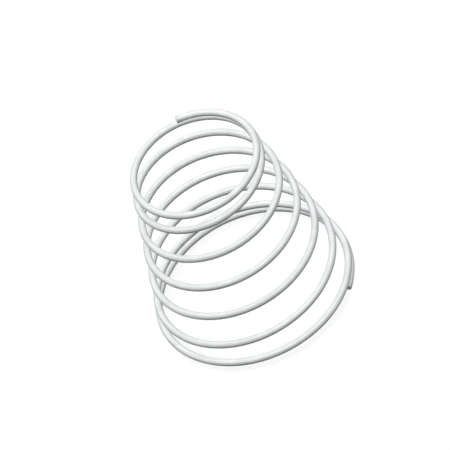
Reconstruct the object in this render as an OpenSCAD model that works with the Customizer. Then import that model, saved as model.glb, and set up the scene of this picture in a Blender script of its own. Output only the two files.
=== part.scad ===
// Conical compression spring, coiled from one length of round wire.
// The spring stands on its large end, and +Z runs along its axis to the small end.
// The origin is the centre of the large end, level with the underside of the wire.

/* [Wire] */
// Diameter of the round wire
wire_d = 0.9; // [0.6:0.02:1.6]
// Width of the broken edge round each cut end of the wire
end_break = 0.08; // [0.02:0.01:0.2]

/* [Cone] */
// Outside diameter of the large end coil
large_od = 25.4; // [20:0.1:40]
// Outside diameter of the small end coil
small_od = 16.75; // [10:0.05:24]
// Free length over both end coils
free_length = 25.4; // [18:0.1:50]

/* [Winding] */
// Coils from one cut end to the other
total_coils = 7.34; // [6:0.01:9]
// Coils closed up at the large end
large_closed_coils = 1.24; // [1:0.01:1.6]
// Coils closed up at the small end
small_closed_coils = 1.22; // [1:0.01:1.6]
// Coils of one diameter at the large end, before the taper
large_straight_coils = 1.05; // [0.5:0.01:1.5]
// Coils of one diameter at the small end, after the taper
small_straight_coils = 1.1; // [0.5:0.01:1.5]
// Part of a coil over which the pitch and the taper set in and fade out
ease_coils = 0.3; // [0.1:0.01:0.6]
// Clearance between closed coils
coil_clearance = 0.05; // [0.02:0.01:0.2]
// How far the small cut end is drawn in towards the axis
tip_draw = 0.24; // [0:0.01:0.6]
// Part of a coil over which the small cut end is drawn in
tip_coils = 0.4; // [0.2:0.01:0.6]
// Angle of the large cut end about the axis, from +X
start_angle = 0; // [0:1:359]
// Direction of the winding
hand = "right"; // [right, left]

/* [Surface] */
// Corners of the wire's section
wire_sides = 12; // [8:4:16]
// Sections along each coil
coil_sections = 54; // [24:2:60]

/* [Hidden] */
spring_colour = [0.91, 0.93, 0.93];
wire_r = wire_d / 2;
large_r = large_od / 2 - wire_r;
small_r = small_od / 2 - wire_r;
turn = (hand == "right") ? 360 : -360;
// Pitch of the closed coils, and what the open coils add to it
closed_pitch = wire_d + coil_clearance;
open_coils = total_coils - large_closed_coils - small_closed_coils;
added_pitch = (free_length - wire_d - closed_pitch * total_coils) / open_coils;
// Change of radius over each coil of the taper
taper_coils = total_coils - large_straight_coils - small_straight_coils;
taper_rate = (small_r - large_r) / taper_coils;
// Length of each broken edge, in coils
large_break = end_break / (2 * PI * large_r);
small_break = end_break / (2 * PI * small_r);
steps = ceil(total_coils * coil_sections);
// Half of the short span, in coils, that gives the direction of the wire
look = 0.002;

// Area under an S-shaped step that climbs from 0 to 1 while t goes from 0 to 1
function step_area(t) = (t <= 0) ? 0 : (t >= 1) ? t - 1 / 2 : pow(t, 3) - pow(t, 4) / 2;

// Coils counted from first to last, with an eased start and an eased stop
function eased_coils(u, first, last) =
    ease_coils * (step_area((u - first) / ease_coils + 1 / 2) - step_area((u - last) / ease_coils + 1 / 2));

// Share of the draw-in at the small cut end
function tip_share(u) = pow(max(0, 1 - (total_coils - u) / tip_coils), 2);

// Centre line of the wire, u coils on from the large cut end
function line_r(u) =
    large_r - tip_draw * tip_share(u)
    + taper_rate * eased_coils(u, large_straight_coils, total_coils - small_straight_coils);
function line_z(u) =
    wire_r + closed_pitch * u
    + added_pitch * eased_coils(u, large_closed_coils, total_coils - small_closed_coils);
function line_angle(u) = start_angle + turn * u;
function line_point(u) =
    let (a = line_angle(u), r = line_r(u))
    [r * cos(a), r * sin(a), line_z(u)];

// Direction of the wire at u, from a point on each side of it
function unit(v) = v / norm(v);
function line_direction(u) = unit(line_point(u + look) - line_point(u - look));

// One section of the wire: a ring of points square to the centre line
function ring(u, r) =
    let (
        along = line_direction(u),
        out = [cos(line_angle(u)), sin(line_angle(u)), 0],
        side = unit(out - (out * along) * along),
        up = cross(along, side)
    )
    [for (i = [0 : wire_sides - 1])
        let (b = 360 * i / wire_sides)
        line_point(u) + r * (cos(b) * side + sin(b) * up)];

// Every section as [coils from the large cut end, radius], with a broken edge at each end
sections = concat(
    [[0, wire_r - end_break]],
    [for (i = [0 : steps])
        [large_break + (total_coils - large_break - small_break) * i / steps, wire_r]],
    [[total_coils, wire_r - end_break]]
);

// Skin over all the sections, closed by a flat face at each cut end
module swept_wire() {
    last = len(sections) - 1;
    points = [for (s = sections) each ring(s[0], s[1])];
    large_face = [for (i = [0 : wire_sides - 1]) i];
    small_face = [for (i = [wire_sides - 1 : -1 : 0]) last * wire_sides + i];
    skin = [for (k = [0 : last - 1], i = [0 : wire_sides - 1])
        let (
            j = (i + 1) % wire_sides,
            a = k * wire_sides,
            b = a + wire_sides
        )
        each [[a + i, b + i, b + j], [a + i, b + j, a + j]]];
    polyhedron(points, concat([large_face], skin, [small_face]));
}

module spring() {
    color(spring_colour)
        swept_wire();
}

spring();
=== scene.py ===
"""Conical compression spring of drawn, plated round wire, standing on its large end on a pale floor."""

import math

import bpy
from mathutils import Matrix, Vector


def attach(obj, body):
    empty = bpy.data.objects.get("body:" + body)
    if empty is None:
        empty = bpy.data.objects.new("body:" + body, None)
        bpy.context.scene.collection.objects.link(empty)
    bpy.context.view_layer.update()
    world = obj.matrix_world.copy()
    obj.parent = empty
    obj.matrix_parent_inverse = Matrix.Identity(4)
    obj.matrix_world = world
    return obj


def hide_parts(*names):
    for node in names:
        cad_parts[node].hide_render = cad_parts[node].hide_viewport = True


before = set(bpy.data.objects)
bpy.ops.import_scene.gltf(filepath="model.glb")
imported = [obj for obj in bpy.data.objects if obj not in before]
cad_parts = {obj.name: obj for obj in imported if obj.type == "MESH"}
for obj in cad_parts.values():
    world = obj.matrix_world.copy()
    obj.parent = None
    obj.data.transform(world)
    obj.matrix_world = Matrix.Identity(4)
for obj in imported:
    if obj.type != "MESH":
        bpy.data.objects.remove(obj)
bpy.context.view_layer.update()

MM = 0.001

# Sizes of the spring, as the solid has them
WIRE_DIAMETER = 0.9 * MM
FREE_LENGTH = 25.4 * MM
SPRING_SIZES = {
    "Wire Diameter": WIRE_DIAMETER,
    "Large Diameter": 25.4 * MM,
    "Small Diameter": 16.75 * MM,
    "Free Length": FREE_LENGTH,
    "Coils": 7.34,
    "Large Closed Coils": 1.24,
    "Small Closed Coils": 1.22,
    "Large Straight Coils": 1.05,
    "Small Straight Coils": 1.1,
    "Ease Coils": 0.3,
    "Coil Clearance": 0.05 * MM,
    "Tip Draw": 0.24 * MM,
    "Tip Coils": 0.4,
    "End Round": 0.08 * MM,
}

# How finely the wire is divided
SMOOTHNESS = {
    "Sections Per Coil": 128,
    "Wire Sides": 28,
    "End Sections": 6,
}
SKIN_FACE_CORNERS = 4

# Flat map of the wire: rows of skin, and a band above them for the cut faces
MAP_ROWS = 8
MAP_CUT_BAND = 0.05
MAP_MARGIN = 0.012
MAP_GAP = 0.003

# Colours of the plate and of the cut ends, all linear
PLATE_PALE = (0.915, 0.95, 0.947, 1)
PLATE_DULL = (0.74, 0.772, 0.771, 1)
PLATE_RUBBED = (0.915, 0.94, 0.938, 1)
PLATE_NICKED = (0.55, 0.57, 0.57, 1)
# Greys of the cut ends: bare steel, darkened further as painted shade on faces that turn away from the
# lamps
CUT_SHADED_PALE = (0.46, 0.475, 0.48, 1)
CUT_SHADED_DARK = (0.24, 0.25, 0.255, 1)

# Gloss of the plate and of the cut ends; each pair is for the darkest and the palest places
PLATE_METALLIC = 0.02
RUBBED_METALLIC = 0.07
PLATE_GLOSS = 0.3
PLATE_ROUGHNESS = (0.55, 0.43)
RUBBED_ROUGHNESS_CHANGE = -0.1
WORN_ROUGHNESS_CHANGE = 0.15
CUT_METALLIC = 0.3
CUT_ROUGHNESS = (0.62, 0.46)

# Marks on the plate: lines along the wire, clouds, breaks in the rubbing and nicks
FINE_LINES = {"Width": 0.03 * MM, "Length": 4 * MM}
BROAD_LINES = {"Width": 0.15 * MM, "Length": 13 * MM}
RUB_BREAKS = {"Width": 0.5 * MM, "Length": 3 * MM}
CLOUD_PATCH = 1.6 * MM
NICK_PATCH = 0.15 * MM
LINE_GRAIN = {"Detail": 2.0, "Roughness": 0.6}
LINE_CONTRAST = (0.32, 0.68)
CLOUD_GRAIN = {"Detail": 4.0, "Roughness": 0.55}
CLOUD_CONTRAST = (0.3, 0.7)

# What each mark adds to the plate's tone and height
CLOUD_TONE = 0.3
BROAD_TONE = 0.35
FINE_TONE = 0.35
TONE_CONTRAST = (0.24, 0.76)
BROAD_HEIGHT = 0.8
FINE_HEIGHT = 0.2
NICK_HEIGHT = -0.5
PLATE_BUMP = {"Strength": 0.6, "Distance": 0.01 * MM}

# Wear: rubbing on the outer side of the coils, by share of the wire's radius, nicks and bare tips
RUB_REACH = (0.84, 0.97)
RUB_BREAK_CONTRAST = (0.1, 0.8)
RUB_STRENGTH = (0.35, 1.0)
RUB_COLOUR = 0.5
NICK_CONTRAST = (0.9, 1.0)
NICK_WEAR = 0.4
TIP_REACH = (0.05 * MM, 0.9 * MM)
TIP_WEAR = 0.5

# Marks of the cutter on the cut ends
CUTTER_LINES = {"Width": 0.045 * MM, "Length": 0.7 * MM}
CUT_PATCH = 0.3 * MM
CUTTER_TONE = 0.6
CUT_CLOUD_TONE = 0.4
CUT_BUMP = {"Strength": 0.7, "Distance": 0.012 * MM}

# Picture: its frame, where the middle of the spring's axis lies in it, and the view in degrees
FRAME_PIXELS = 450
PIXELS_PER_MM = 8.217
AXIS_MIDDLE_PIXEL = (224.84, 224.94)
VIEW_AZIMUTH = 34.5
VIEW_ELEVATION = 46.0
VIEW_ROLL = 26.17
LENS_MM = 1000
SENSOR_MM = 36
NEAREST_SEEN = 0.1
FARTHEST_SEEN = 10

# Floor and light
FLOOR_HALF = 3.0
FLOOR_WHITE = 0.7
FLOOR_GLOW = 0.3
FLOOR_BOUNCE = 0.01
SKY_LEVEL = 0.01
BACKDROP_LEVEL = 1.0
LAMPS = (
    # name, direction it shines from, spread in degrees, level, casts a shadow
    ("left_lamp", (-0.20, -0.03, 0.98), 16, 0.50, False),
    ("right_lamp", (0.36, -0.15, 0.92), 16, 0.385, False),
    ("overhead_lamp", (-0.05, 0.05, 1.00), 34, 0.20, True),
)

# Places of the sockets that a Mix node uses for colours
MIX_SHARE = 0
MIX_FIRST = 6
MIX_SECOND = 7
MIX_RESULT = 2


# Building blocks

class Bench:
    """Adds nodes to one tree. Each input is a plain value or another node's output."""

    def __init__(self, tree):
        self.tree = tree

    def add(self, kind, inputs=None, **settings):
        node = self.tree.nodes.new(kind)
        for name, value in settings.items():
            setattr(node, name, value)
        for key, value in (inputs or {}).items():
            if isinstance(value, bpy.types.NodeSocket):
                self.tree.links.new(value, node.inputs[key])
            else:
                node.inputs[key].default_value = value
        return node

    def out(self, kind, inputs=None, socket=0, **settings):
        return self.add(kind, inputs, **settings).outputs[socket]

    def math(self, operation, *terms):
        return self.out("ShaderNodeMath", dict(enumerate(terms)), operation=operation)

    def total(self, *terms):
        result = terms[0]
        for term in terms[1:]:
            result = self.math("ADD", result, term)
        return result

    def weighted(self, *pairs):
        return self.total(*(self.math("MULTIPLY", value, weight) for value, weight in pairs))

    def span(self, value, low, high, to_low=0.0, to_high=1.0):
        inputs = {"Value": value, "From Min": low, "From Max": high, "To Min": to_low, "To Max": to_high}
        return self.out("ShaderNodeMapRange", inputs, clamp=True)

    def blend(self, share, first, second):
        inputs = {MIX_SHARE: share, MIX_FIRST: first, MIX_SECOND: second}
        return self.out("ShaderNodeMix", inputs, socket=MIX_RESULT, data_type="RGBA")


def new_group(name, kind, inputs, outputs):
    """A node group with named sockets: its tree, the given sockets and the result sockets."""
    tree = bpy.data.node_groups.new(name, kind)
    for label, socket in inputs:
        tree.interface.new_socket(label, in_out="INPUT", socket_type=socket)
    for label, socket in outputs:
        tree.interface.new_socket(label, in_out="OUTPUT", socket_type=socket)
    given = tree.nodes.new("NodeGroupInput").outputs
    result = tree.nodes.new("NodeGroupOutput").inputs
    return tree, given, result


def new_object(name, data):
    """Puts a new object into the scene, at the origin."""
    made = bpy.data.objects.new(name, data)
    bpy.context.scene.collection.objects.link(made)
    return made


# The coil

def eased_coils_tree():
    """Coils counted from First to Last, with an eased start and an eased stop."""
    tree, given, result = new_group(
        "eased_coils",
        "GeometryNodeTree",
        [(label, "NodeSocketFloat") for label in ("Coil", "First", "Last", "Ease")],
        [("Coils", "NodeSocketFloat")],
    )
    bench = Bench(tree)
    calc = bench.math

    def step_area(start):
        """Area under an S-shaped step that climbs from 0 to 1 round the start."""
        past = calc("DIVIDE", calc("SUBTRACT", given["Coil"], start), given["Ease"])
        t = calc("ADD", past, 0.5)
        inside = bench.span(t, 0.0, 1.0)
        fourth = calc("MULTIPLY", calc("POWER", inside, 4.0), 0.5)
        rise = calc("SUBTRACT", calc("POWER", inside, 3.0), fourth)
        beyond = calc("MAXIMUM", calc("SUBTRACT", t, 1.0), 0.0)
        return calc("ADD", rise, beyond)

    run = calc("SUBTRACT", step_area(given["First"]), step_area(given["Last"]))
    tree.links.new(calc("MULTIPLY", run, given["Ease"]), result["Coils"])
    return tree


class Winder(Bench):
    """A bench for the coil's own tree. A place on the wire is given in coils from the large cut end."""

    def __init__(self, tree, given):
        super().__init__(tree)
        self.given = given
        self.eased = eased_coils_tree()
        self.wire_radius = self.math("MULTIPLY", given["Wire Diameter"], 0.5)
        self.large_radius = self.centre_radius("Large Diameter")
        self.small_radius = self.centre_radius("Small Diameter")
        self.large_turn = self.math("MULTIPLY", self.large_radius, math.tau)
        self.small_turn = self.math("MULTIPLY", self.small_radius, math.tau)

    def centre_radius(self, diameter):
        """Radius of the centre line in a coil of the named outside diameter."""
        across = self.math("SUBTRACT", self.given[diameter], self.given["Wire Diameter"])
        return self.math("MULTIPLY", across, 0.5)

    def eased_coils(self, coil, first, from_end):
        """Coils passed between two named counts, one from each cut end."""
        given = self.given
        last = self.math("SUBTRACT", given["Coils"], given[from_end])
        inputs = {"Coil": coil, "First": given[first], "Last": last, "Ease": given["Ease Coils"]}
        return self.out("GeometryNodeGroup", inputs, node_tree=self.eased)

    def middle_coils(self, large, small):
        """Coils that are left between two named counts, one at each end."""
        ends = self.math("ADD", self.given[large], self.given[small])
        return self.math("SUBTRACT", self.given["Coils"], ends)

    def sections(self):
        """Place of each section, with close ones in both end rounds, and the last one's number."""
        calc, span, given = self.math, self.span, self.given
        large_round = calc("DIVIDE", given["End Round"], self.large_turn)
        small_round = calc("DIVIDE", given["End Round"], self.small_turn)
        plain = calc("SUBTRACT", calc("SUBTRACT", given["Coils"], large_round), small_round)
        head = given["End Sections"]
        body = calc("ROUND", calc("MULTIPLY", given["Coils"], given["Sections Per Coil"]))
        tail = calc("ADD", head, body)
        last = calc("ADD", tail, given["End Sections"])
        index = self.out("GeometryNodeInputIndex")
        coil = self.total(
            span(index, 0.0, head, 0.0, large_round),
            span(index, head, tail, 0.0, plain),
            span(index, tail, last, 0.0, small_round),
        )
        return coil, last

    def radius(self, coil, left):
        """Straight end coils, an even taper between them, and the small cut end drawn in."""
        calc, given = self.math, self.given
        taper_coils = self.middle_coils("Large Straight Coils", "Small Straight Coils")
        taper = calc("DIVIDE", calc("SUBTRACT", self.small_radius, self.large_radius), taper_coils)
        tapered = self.eased_coils(coil, "Large Straight Coils", "Small Straight Coils")
        tip = calc("POWER", self.span(left, 0.0, given["Tip Coils"], 1.0, 0.0), 2.0)
        drawn = calc("SUBTRACT", self.large_radius, calc("MULTIPLY", tip, given["Tip Draw"]))
        return calc("ADD", drawn, calc("MULTIPLY", taper, tapered))

    def height(self, coil):
        """Closed end coils, and open coils that take up the rest of the free length."""
        calc, given = self.math, self.given
        closed_pitch = calc("ADD", given["Wire Diameter"], given["Coil Clearance"])
        open_coils = self.middle_coils("Large Closed Coils", "Small Closed Coils")
        rise = calc("SUBTRACT", given["Free Length"], given["Wire Diameter"])
        spare = calc("SUBTRACT", rise, calc("MULTIPLY", closed_pitch, given["Coils"]))
        added_pitch = calc("DIVIDE", spare, open_coils)
        opened = self.eased_coils(coil, "Large Closed Coils", "Small Closed Coils")
        return self.total(
            self.wire_radius,
            calc("MULTIPLY", closed_pitch, coil),
            calc("MULTIPLY", added_pitch, opened),
        )

    def section_share(self, coil, left):
        """Share of the full section: one along the wire, less in the quarter-round at each cut end."""
        calc, given = self.math, self.given
        from_large = calc("MULTIPLY", coil, self.large_turn)
        from_small = calc("MULTIPLY", left, self.small_turn)
        depth = self.span(calc("MINIMUM", from_large, from_small), 0.0, given["End Round"], 1.0, 0.0)
        arc = calc("SQRT", calc("SUBTRACT", 1.0, calc("MULTIPLY", depth, depth)))
        lost = calc("MULTIPLY", calc("SUBTRACT", 1.0, arc), given["End Round"])
        return calc("SUBTRACT", 1.0, calc("DIVIDE", lost, self.wire_radius))

    def keep(self, geometry, name, value, data_type="FLOAT"):
        inputs = {"Geometry": geometry, "Name": name, "Value": value}
        return self.out("GeometryNodeStoreNamedAttribute", inputs, data_type=data_type, domain="POINT")

    def centre_line(self):
        """The coiled line, which keeps the run of the wire and its distance to the nearer cut end."""
        calc = self.math
        coil, last = self.sections()
        left = calc("SUBTRACT", self.given["Coils"], coil)
        radius = self.radius(coil, left)
        angle = calc("MULTIPLY", coil, math.tau)
        place = self.out("ShaderNodeCombineXYZ", {
            "X": calc("MULTIPLY", radius, calc("COSINE", angle)),
            "Y": calc("MULTIPLY", radius, calc("SINE", angle)),
            "Z": self.height(coil),
        })
        line = self.out("GeometryNodeCurvePrimitiveLine", {"Start": (0, 0, 0), "End": (0, 0, 1)})
        line = self.out("GeometryNodeResampleCurve", {"Curve": line, "Count": calc("ADD", last, 1.0)})
        line = self.keep(line, "section_share", self.section_share(coil, left))
        line = self.out("GeometryNodeSetPosition", {"Geometry": line, "Position": place})
        line = self.out("GeometryNodeSetCurveNormal", {"Curve": line}, mode="Z_UP")
        run = self.out("GeometryNodeSplineParameter", socket="Length")
        to_small_end = calc("SUBTRACT", self.out("GeometryNodeSplineLength", socket="Length"), run)
        line = self.keep(line, "wire_run", run)
        return self.keep(line, "run_to_end", calc("MINIMUM", run, to_small_end))

    def swept_wire(self, line):
        """A round section along the line, closed by a flat face at each cut end, in its two finishes."""
        given = self.given
        circle = {"Resolution": given["Wire Sides"], "Radius": self.wire_radius}
        section = self.out("GeometryNodeCurvePrimitiveCircle", circle)
        spot = self.out("GeometryNodeInputPosition")
        section = self.keep(section, "section_spot", spot, "FLOAT_VECTOR")
        share = self.out("GeometryNodeInputNamedAttribute", {"Name": "section_share"}, data_type="FLOAT")
        wire = self.out("GeometryNodeCurveToMesh", {
            "Curve": line,
            "Profile Curve": section,
            "Scale": share,
            "Fill Caps": True,
        })
        wire = self.out("GeometryNodeRemoveAttribute", {"Geometry": wire, "Name": "section_share"})
        corners = self.out("GeometryNodeInputMeshFaceNeighbors", socket="Vertex Count")
        counts = {2: corners, 3: SKIN_FACE_CORNERS}
        cut_face = self.out("FunctionNodeCompare", counts, data_type="INT", operation="GREATER_THAN")
        skin_face = self.out("FunctionNodeBooleanMath", {0: cut_face}, operation="NOT")
        wire = self.out("GeometryNodeSetShadeSmooth", {"Geometry": wire, "Shade Smooth": skin_face})
        wire = self.out("GeometryNodeRealizeInstances", {"Geometry": wire})
        wire = self.out("GeometryNodeSetMaterial", {"Geometry": wire, "Material": given["Wire Finish"]})
        return self.out("GeometryNodeSetMaterial", {
            "Geometry": wire,
            "Selection": cut_face,
            "Material": given["Cut Finish"],
        })


def coil_tree():
    """The wire of a conical spring: a coiled line swept by a round section, cut square at both ends."""
    sockets = [(name, "NodeSocketFloat") for name in SPRING_SIZES]
    sockets += [(name, "NodeSocketInt") for name in SMOOTHNESS]
    sockets += [(name, "NodeSocketMaterial") for name in ("Wire Finish", "Cut Finish")]
    results = [("Geometry", "NodeSocketGeometry")]
    tree, given, result = new_group("conical_coil", "GeometryNodeTree", sockets, results)
    winder = Winder(tree, given)
    tree.links.new(winder.swept_wire(winder.centre_line()), result["Geometry"])
    return tree


def coiled_wire(name, wire_finish, cut_finish):
    """Runs the coil tree once and keeps its result as a plain mesh object at the origin."""
    tree = coil_tree()
    former = new_object(name + "_former", bpy.data.meshes.new(name + "_former"))
    modifier = former.modifiers.new("coil", "NODES")
    modifier.node_group = tree
    values = {**SPRING_SIZES, **SMOOTHNESS, "Wire Finish": wire_finish, "Cut Finish": cut_finish}
    for item in tree.interface.items_tree:
        if item.in_out == "INPUT":
            modifier[item.identifier] = values[item.name]
    graph = bpy.context.evaluated_depsgraph_get()
    mesh = bpy.data.meshes.new_from_object(
        former.evaluated_get(graph), preserve_all_data_layers=True, depsgraph=graph
    )
    mesh.name = name
    lay_flat(mesh)
    former.modifiers.remove(modifier)
    bpy.data.objects.remove(former)
    return new_object(name, mesh)


# The wire's flat map

def cut_face_places(number, at_large_end, spots):
    """Corners of a cut face on the flat map: a disc in the band above the rows."""
    side = -1 if at_large_end else 1
    scale = (MAP_CUT_BAND / 2 - MAP_GAP) / (WIRE_DIAMETER / 2)
    along = number * MAP_CUT_BAND
    across = 1 - MAP_CUT_BAND / 2
    return [(along + side * scale * spot.x, across + scale * spot.y) for spot in spots]


def skin_face_places(row_length, runs, spots):
    """Corners of a skin face on the flat map: along its row, and across it from the slit."""
    row = min(int(sum(runs) / len(runs) / row_length), MAP_ROWS - 1)
    row_height = (1 - MAP_CUT_BAND) / MAP_ROWS
    middle = sum(spots, Vector())
    middle_turn = math.atan2(middle.y, middle.x)
    places = []
    for run, spot in zip(runs, spots):
        step = math.remainder(math.atan2(spot.y, spot.x) - middle_turn, math.tau)
        along = run / row_length - row
        around = 0.5 - (middle_turn + step) / math.tau
        places.append((
            MAP_MARGIN + along * (1 - 2 * MAP_MARGIN),
            row * row_height + MAP_GAP + around * (row_height - 2 * MAP_GAP),
        ))
    return places


def lay_flat(mesh):
    """Gives the wire its flat map, with the skin slit along the inner side of the coils."""
    flat_map = mesh.uv_layers.new(name="OFBake")
    all_runs = [entry.value for entry in mesh.attributes["wire_run"].data]
    all_spots = [entry.vector.copy() for entry in mesh.attributes["section_spot"].data]
    row_length = max(all_runs) / MAP_ROWS
    cut_faces = 0
    for face in mesh.polygons:
        runs = [all_runs[vertex] for vertex in face.vertices]
        spots = [all_spots[vertex] for vertex in face.vertices]
        if face.material_index:
            cut_faces += 1
            places = cut_face_places(cut_faces, runs[0] < row_length, spots)
        else:
            places = skin_face_places(row_length, runs, spots)
        for loop, place in zip(face.loop_indices, places):
            flat_map.data[loop].uv = place


# Materials

def stretched_lines_group():
    """Lines of a given width and length that run along the place's third direction."""
    tree, given, result = new_group(
        "stretched_lines",
        "ShaderNodeTree",
        [("Place", "NodeSocketVector"), ("Width", "NodeSocketFloat"), ("Length", "NodeSocketFloat")],
        [("Lines", "NodeSocketFloat")],
    )
    bench = Bench(tree)
    across = bench.math("DIVIDE", 1.0, given["Width"])
    along = bench.math("DIVIDE", 1.0, given["Length"])
    scale = bench.out("ShaderNodeCombineXYZ", {"X": across, "Y": across, "Z": along})
    place = bench.out("ShaderNodeVectorMath", {0: given["Place"], 1: scale}, operation="MULTIPLY")
    noise = bench.out("ShaderNodeTexNoise", {"Vector": place, "Scale": 1.0, **LINE_GRAIN})
    tree.links.new(bench.span(noise, *LINE_CONTRAST), result["Lines"])
    return tree


def plate_clouds_group():
    """Soft clouding of a plated skin, in patches of about the given size."""
    tree, given, result = new_group(
        "plate_clouds",
        "ShaderNodeTree",
        [("Place", "NodeSocketVector"), ("Patch", "NodeSocketFloat")],
        [("Clouds", "NodeSocketFloat")],
    )
    bench = Bench(tree)
    scale = bench.math("DIVIDE", 1.0, given["Patch"])
    noise = bench.out("ShaderNodeTexNoise", {"Vector": given["Place"], "Scale": scale, **CLOUD_GRAIN})
    tree.links.new(bench.span(noise, *CLOUD_CONTRAST), result["Clouds"])
    return tree


class Finish(Bench):
    """A material's bench, with this object's effects and the attributes that the wire keeps."""

    def __init__(self, name):
        self.material = bpy.data.materials.new(name)
        self.material.use_nodes = True
        super().__init__(self.material.node_tree)
        self.tree.nodes.clear()

    def effect(self, group, **inputs):
        return self.out("ShaderNodeGroup", inputs, node_tree=group)

    def attribute(self, name, socket):
        return self.out("ShaderNodeAttribute", socket=socket, attribute_name=name)

    def surface(self, shader):
        self.add("ShaderNodeOutputMaterial", {"Surface": shader})
        return self.material


def plated_wire(lines_group, clouds_group):
    """Drawn wire under a pale satin plate: lines, soft clouds, a rubbed outer side and small nicks."""
    bench = Finish("plated_wire")
    whole_spot = bench.attribute("section_spot", "Vector")
    spot = bench.add("ShaderNodeSeparateXYZ", {0: whole_spot}).outputs
    run = bench.attribute("wire_run", "Fac")
    place = bench.out("ShaderNodeCombineXYZ", {"X": spot["X"], "Y": spot["Y"], "Z": run})

    fine = bench.effect(lines_group, Place=place, **FINE_LINES)
    broad = bench.effect(lines_group, Place=place, **BROAD_LINES)
    clouds = bench.effect(clouds_group, Place=place, Patch=CLOUD_PATCH)
    tone = bench.weighted((clouds, CLOUD_TONE), (broad, BROAD_TONE), (fine, FINE_TONE))
    tone = bench.span(tone, *TONE_CONTRAST)

    outward = bench.math("DIVIDE", spot["X"], WIRE_DIAMETER / 2)
    breaks = bench.effect(lines_group, Place=place, **RUB_BREAKS)
    breaks = bench.span(breaks, *RUB_BREAK_CONTRAST, *RUB_STRENGTH)
    rubbed = bench.math("MULTIPLY", bench.span(outward, *RUB_REACH), breaks)
    specks = bench.effect(clouds_group, Place=place, Patch=NICK_PATCH)
    nicked = bench.span(specks, *NICK_CONTRAST)
    tip = bench.span(bench.attribute("run_to_end", "Fac"), *TIP_REACH, 1.0, 0.0)
    nick_wear = bench.math("MULTIPLY", nicked, NICK_WEAR)
    worn = bench.math("MAXIMUM", nick_wear, bench.math("MULTIPLY", tip, TIP_WEAR))

    colour = bench.blend(tone, PLATE_DULL, PLATE_PALE)
    colour = bench.blend(bench.math("MULTIPLY", rubbed, RUB_COLOUR), colour, PLATE_RUBBED)
    colour = bench.blend(worn, colour, PLATE_NICKED)
    wear_change = bench.weighted((rubbed, RUBBED_ROUGHNESS_CHANGE), (worn, WORN_ROUGHNESS_CHANGE))
    roughness = bench.math("ADD", bench.span(tone, 0.0, 1.0, *PLATE_ROUGHNESS), wear_change)
    height = bench.weighted((fine, FINE_HEIGHT), (broad, BROAD_HEIGHT), (nicked, NICK_HEIGHT))
    return bench.surface(bench.out("ShaderNodeBsdfPrincipled", {
        "Base Color": colour,
        "Metallic": bench.span(rubbed, 0.0, 1.0, PLATE_METALLIC, RUBBED_METALLIC),
        "Roughness": roughness,
        "Specular IOR Level": PLATE_GLOSS,
        "Normal": bench.out("ShaderNodeBump", {"Height": height, **PLATE_BUMP}),
    }))


def sheared_end(lines_group, clouds_group):
    """Square-cut end of the wire: bare steel, its grey darkened further as painted shade, with the
    cutter's lines across it.
    """
    bench = Finish("sheared_end")
    whole_spot = bench.attribute("section_spot", "Vector")
    spot = bench.add("ShaderNodeSeparateXYZ", {0: whole_spot}).outputs
    place = bench.out("ShaderNodeCombineXYZ", {"X": spot["Y"], "Y": 0.0, "Z": spot["X"]})
    lines = bench.effect(lines_group, Place=place, **CUTTER_LINES)
    clouds = bench.effect(clouds_group, Place=whole_spot, Patch=CUT_PATCH)
    tone = bench.weighted((lines, CUTTER_TONE), (clouds, CUT_CLOUD_TONE))
    return bench.surface(bench.out("ShaderNodeBsdfPrincipled", {
        # Painted shade: the cut face's greys are darker than bare steel alone
        "Base Color": bench.blend(tone, CUT_SHADED_DARK, CUT_SHADED_PALE),
        "Metallic": CUT_METALLIC,
        "Roughness": bench.span(tone, 0.0, 1.0, *CUT_ROUGHNESS),
        "Normal": bench.out("ShaderNodeBump", {"Height": lines, **CUT_BUMP}),
    }))


# Stage

def seen_rays(bench):
    """One for rays from the eye, straight, mirrored or through glass; zero for the rest."""
    path = bench.add("ShaderNodeLightPath").outputs
    mirrored = bench.math("MAXIMUM", path["Is Glossy Ray"], path["Is Transmission Ray"])
    return bench.math("MAXIMUM", path["Is Camera Ray"], mirrored)


def grey(level):
    return (level, level, level, 1)


def studio_floor():
    """White where it is seen, with the spring's shadow; a dim bounce onto the wire; clear from below."""
    bench = Finish("studio_floor")
    lit = bench.out("ShaderNodeBsdfDiffuse", {"Color": grey(FLOOR_WHITE)})
    glow = bench.out("ShaderNodeEmission", {"Color": grey(1), "Strength": FLOOR_GLOW})
    white = bench.out("ShaderNodeAddShader", {0: lit, 1: glow})
    dim = bench.out("ShaderNodeBsdfDiffuse", {"Color": grey(FLOOR_BOUNCE)})
    above = bench.out("ShaderNodeMixShader", {0: seen_rays(bench), 1: dim, 2: white})
    below = bench.out("ShaderNodeBsdfTransparent")
    under = bench.out("ShaderNodeNewGeometry", socket="Backfacing")
    return bench.surface(bench.out("ShaderNodeMixShader", {0: under, 1: above, 2: below}))


def make_floor():
    """A large square under the spring."""
    sides = ((-1, -1), (1, -1), (1, 1), (-1, 1))
    mesh = bpy.data.meshes.new("floor")
    mesh.from_pydata([(x * FLOOR_HALF, y * FLOOR_HALF, 0) for x, y in sides], [], [(0, 1, 2, 3)])
    mesh.materials.append(studio_floor())
    floor = new_object("floor", mesh)


def add_lamp(name, source, spread, level, shadow):
    """A broad far lamp. At level 1 a surface that faces it renders its colour as written."""
    toward = Vector(source).normalized()
    lamp = bpy.data.lights.new(name, "SUN")
    lamp.angle = math.radians(spread)
    lamp.energy = level * math.pi
    lamp.use_shadow = shadow
    holder = new_object(name, lamp)
    holder.location = toward
    holder.rotation_euler = toward.to_track_quat("Z", "Y").to_euler()


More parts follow.
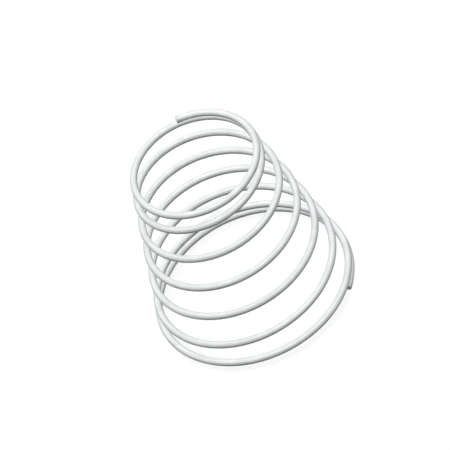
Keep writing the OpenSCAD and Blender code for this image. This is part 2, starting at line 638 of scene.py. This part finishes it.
def make_light():
    """A dim even sky that is white where it is seen, and broad soft lamps above the spring."""
    world = bpy.data.worlds.new("studio_sky")
    bpy.context.scene.world = world
    world.use_nodes = True
    world.node_tree.nodes.clear()
    bench = Bench(world.node_tree)
    sky = bench.out("ShaderNodeBackground", {"Color": grey(1), "Strength": SKY_LEVEL})
    backdrop = bench.out("ShaderNodeBackground", {"Color": grey(1), "Strength": BACKDROP_LEVEL})
    both = bench.out("ShaderNodeMixShader", {0: seen_rays(bench), 1: sky, 2: backdrop})
    bench.add("ShaderNodeOutputWorld", {"Surface": both})

    for lamp in LAMPS:
        add_lamp(*lamp)


def make_camera():
    """Looks from far off at the middle of the spring's axis, with the picture's angle and roll."""
    azimuth = math.radians(VIEW_AZIMUTH)
    elevation = math.radians(VIEW_ELEVATION)
    roll = math.radians(VIEW_ROLL)
    level = Vector((math.cos(azimuth), math.sin(azimuth), 0))
    away = Vector((math.sin(azimuth), -math.cos(azimuth), 0))
    back = away * math.cos(elevation) + Vector((0, 0, math.sin(elevation)))
    right = level * math.cos(roll) - back.cross(level) * math.sin(roll)
    up = back.cross(right)

    pixel_size = MM / PIXELS_PER_MM
    off_right, off_down = ((pixel - FRAME_PIXELS / 2) * pixel_size for pixel in AXIS_MIDDLE_PIXEL)
    aim = Vector((0, 0, FREE_LENGTH / 2)) - right * off_right + up * off_down
    distance = FRAME_PIXELS * pixel_size * LENS_MM / SENSOR_MM

    view = bpy.data.cameras.new("picture_view")
    view.lens = LENS_MM
    view.sensor_width = SENSOR_MM
    view.clip_start = NEAREST_SEEN
    view.clip_end = FARTHEST_SEEN
    camera = new_object("picture_view", view)
    turned = Matrix((right, up, back)).transposed().to_4x4()
    camera.matrix_world = Matrix.Translation(aim + back * distance) @ turned
    bpy.context.scene.camera = camera


# Making

make_camera()
make_light()
make_floor()

lines = stretched_lines_group()
clouds = plate_clouds_group()
spring = coiled_wire("spring_wire", plated_wire(lines, clouds), sheared_end(lines, clouds))
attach(spring, "root")
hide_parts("spring")

bpy.context.scene.view_settings.view_transform = "Standard"
